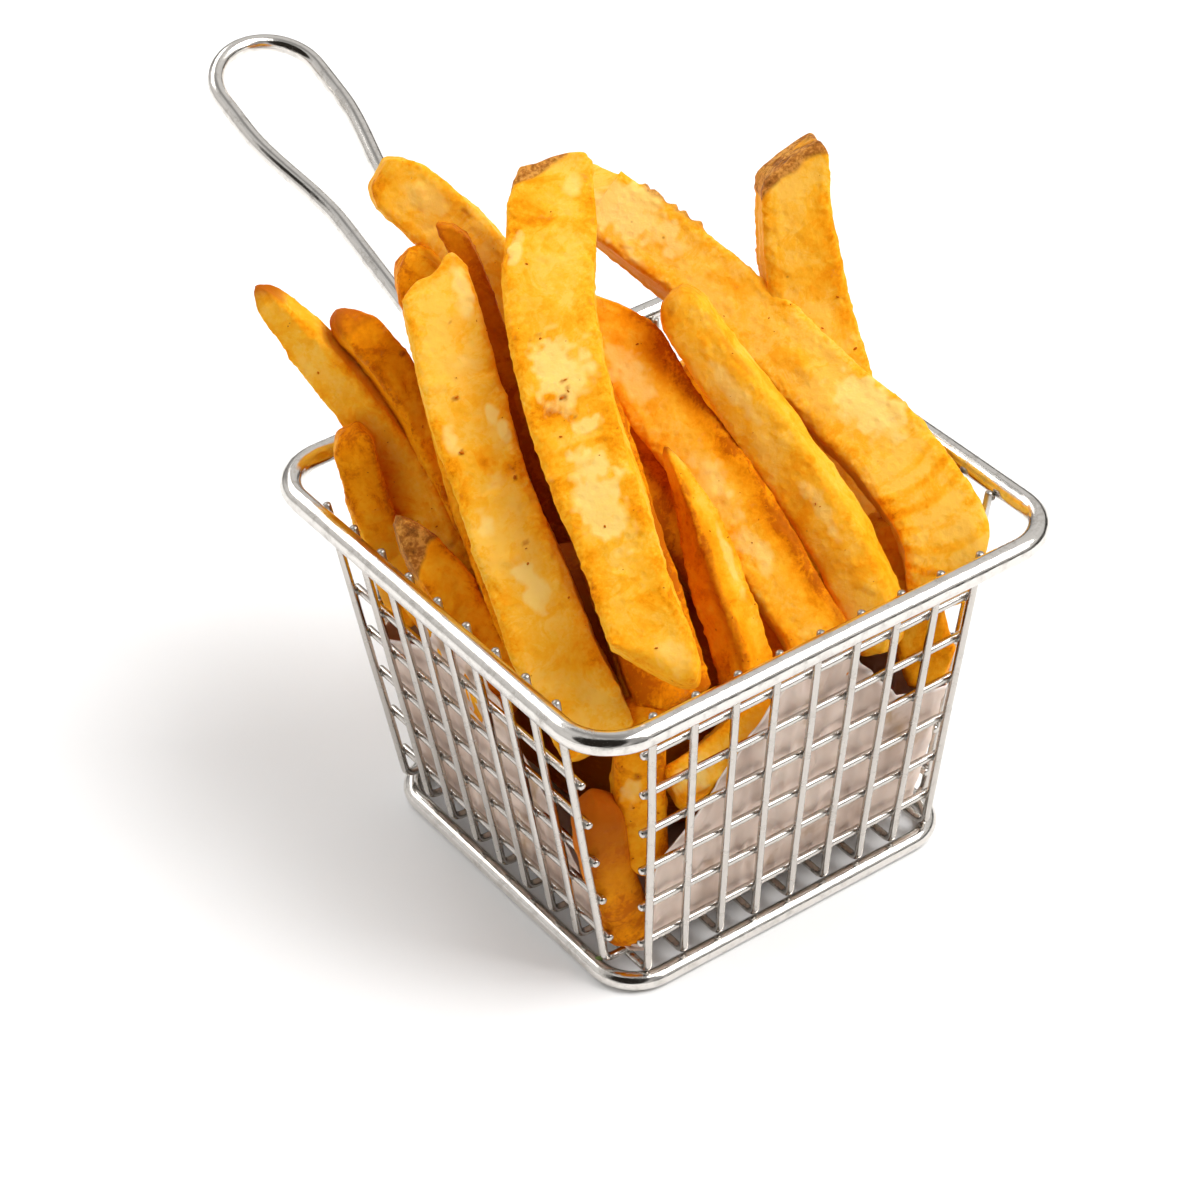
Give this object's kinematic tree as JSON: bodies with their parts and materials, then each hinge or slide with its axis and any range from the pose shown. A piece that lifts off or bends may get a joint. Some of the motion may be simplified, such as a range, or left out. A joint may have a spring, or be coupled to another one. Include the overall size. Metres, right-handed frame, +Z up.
{
  "type": "wire serving basket of chips",
  "caption": "Small square wire serving basket with a loop handle and a greaseproof paper liner, holding a leaning bundle of thick-cut, partly skin-on fried potato chips.",
  "frame": {"origin": "middle of the bottom of the whole object's box, on the surface that the basket stands on", "axes": "+Z up, +Y from the basket towards its handle, +X to the right when looking along +Y"},
  "size_m": [0.0946, 0.1722, 0.1132],
  "materials": {
    "polished_steel": "polished stainless wire",
    "mesh_steel": "bright drawn wire, spot welded",
    "greaseproof_paper": "thin greaseproof paper, slightly see-through, with grease spots",
    "fried_potato": "fried potato, golden, with darker edges and brown skin"
  },
  "bodies": {
    "root": {"top_rim": "polished_steel", "base_ring": "polished_steel", "handle": "polished_steel", "mesh_front": "mesh_steel", "mesh_right": "mesh_steel", "mesh_back": "mesh_steel", "mesh_left": "mesh_steel", "mesh_base": "mesh_steel", "paper_liner": "greaseproof_paper", "fries": "fried_potato"}
  },
  "joints": []
}
